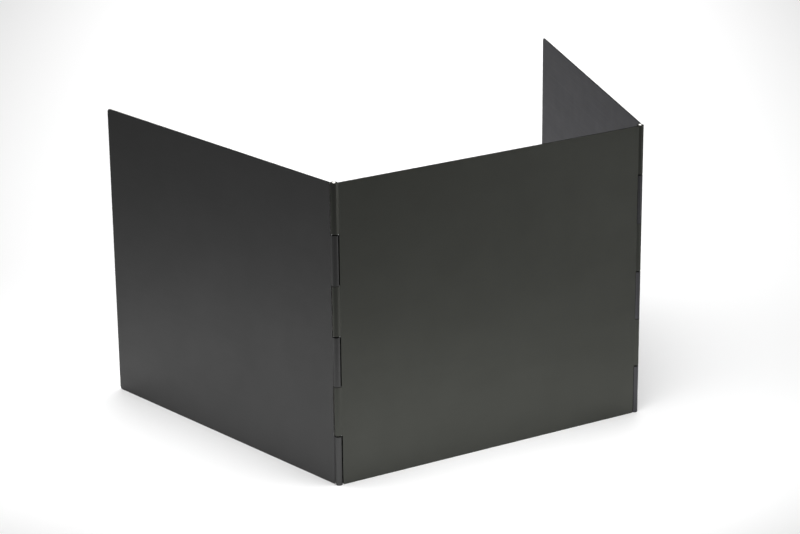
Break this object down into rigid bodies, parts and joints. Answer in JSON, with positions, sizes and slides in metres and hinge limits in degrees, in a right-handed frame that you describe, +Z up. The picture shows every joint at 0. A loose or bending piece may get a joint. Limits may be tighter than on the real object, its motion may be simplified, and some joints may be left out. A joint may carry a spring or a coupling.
{
  "type": "stove windscreen",
  "caption": "Folding sheet-metal windscreen for a camping stove: flat panels joined by rolled pin hinges stand as an open bay on their bottom edges and fold flat on each other.",
  "frame": {"origin": "middle of the front panel's bottom edge, on the mid-plane of its sheet, where the screen stands on the ground", "axes": "+X along the front panel from the left hinge to the right one, +Y into the sheltered bay, +Z up"},
  "size_m": [0.376, 0.2401, 0.2208],
  "materials": {
    "anodised_sheet": "hard-anodised, satin dark grey",
    "pin_steel": "bare drawn wire"
  },
  "bodies": {
    "front": {"front_panel": "anodised_sheet", "left_hinge_pin": "pin_steel", "right_hinge_pin": "pin_steel"},
    "left_wing": {"left_panel": "anodised_sheet"},
    "right_wing": {"right_panel": "anodised_sheet"}
  },
  "joints": [
    {"name": "left_fold", "type": "hinge", "parent": "front", "child": "left_wing", "pos_m": [-0.124, 0.00145, 0], "axis": [0, 0, -1], "range_deg": [-167, 103.35]},
    {"name": "right_fold", "type": "hinge", "parent": "front", "child": "right_wing", "pos_m": [0.124, 0.00145, 0], "axis": [0, 0, 1], "range_deg": [-163.5, 106.15]}
  ]
}
